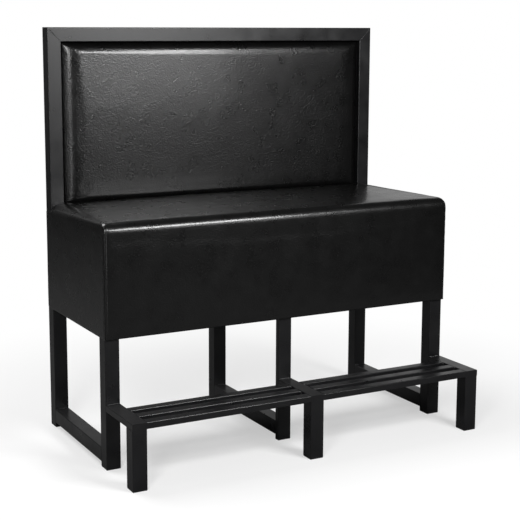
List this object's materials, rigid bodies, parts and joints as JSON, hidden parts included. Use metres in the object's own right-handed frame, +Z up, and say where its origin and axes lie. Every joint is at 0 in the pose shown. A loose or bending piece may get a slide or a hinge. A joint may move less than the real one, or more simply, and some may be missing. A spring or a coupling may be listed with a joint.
{
  "type": "restaurant booth bench",
  "caption": "High restaurant bench with a boxed black leather-look seat, a framed padded back, a welded square-tube frame and a slatted footrest in front",
  "frame": {"origin": "on the floor under the middle of the whole bench, footrest included", "axes": "X along the bench with +X to the right as seen from the front, -Y to the front where the footrest is, +Z up"},
  "size_m": [1.2, 0.686, 1.282],
  "materials": {
    "black_powder_coat": "fine-textured satin black powder coat on welded steel tube",
    "black_artificial_leather": "semi-gloss black artificial leather with a fine grain",
    "seat_foam": "cut polyurethane foam",
    "birch_plywood": "unfinished plywood",
    "raw_fibreboard": "unfinished fibreboard",
    "black_hardboard": "satin black faced hardboard",
    "black_dust_cloth": "matt non-woven cloth",
    "black_polyethylene": "moulded black plastic",
    "zinc_screws": "zinc-plated screws",
    "black_screws": "black-coated pan head screws"
  },
  "bodies": {
    "root": {"back_board": "birch_plywood", "back_cover": "black_artificial_leather", "back_foam": "seat_foam", "back_lower_rail": "black_powder_coat", "back_panel": "black_hardboard", "back_panel_screws": "black_screws", "back_top_rail": "black_powder_coat", "deck_screws": "zinc_screws", "dust_cover": "black_dust_cloth", "flat_leg_plug": "black_polyethylene", "footrest_end_plates": "black_powder_coat", "front_board": "raw_fibreboard", "front_board_screws": "zinc_screws", "front_seat_rail": "black_powder_coat", "left_footrest_bracket": "black_powder_coat", "left_footrest_leg": "black_powder_coat", "left_front_bar": "black_powder_coat", "left_front_leg": "black_powder_coat", "left_front_skirt_rail": "black_powder_coat", "left_middle_bar": "black_powder_coat", "left_rear_bar": "black_powder_coat", "left_rear_board": "black_hardboard", "left_rear_seat_rail": "black_powder_coat", "left_rear_skirt_rail": "black_powder_coat", "left_rear_upright": "black_powder_coat", "left_runner": "black_powder_coat", "left_seat_rail": "black_powder_coat", "left_side_board": "raw_fibreboard", "left_skirt_rail": "black_powder_coat", "middle_footrest_bracket": "black_powder_coat", "middle_footrest_leg": "black_powder_coat", "middle_front_leg": "black_powder_coat", "middle_rear_leg": "black_powder_coat", "middle_runner": "black_powder_coat", "middle_seat_rail": "black_powder_coat", "panel_tabs": "black_powder_coat", "rear_board_screws": "black_screws", "right_footrest_bracket": "black_powder_coat", "right_footrest_leg": "black_powder_coat", "right_front_bar": "black_powder_coat", "right_front_leg": "black_powder_coat", "right_front_skirt_rail": "black_powder_coat", "right_middle_bar": "black_powder_coat", "right_rear_bar": "black_powder_coat", "right_rear_board": "black_hardboard", "right_rear_seat_rail": "black_powder_coat", "right_rear_skirt_rail": "black_powder_coat", "right_rear_upright": "black_powder_coat", "right_runner": "black_powder_coat", "right_seat_rail": "black_powder_coat", "right_side_board": "raw_fibreboard", "right_skirt_rail": "black_powder_coat", "seat_cover": "black_artificial_leather", "seat_deck": "birch_plywood", "seat_foam": "seat_foam", "square_leg_plugs": "black_polyethylene"}
  },
  "joints": []
}
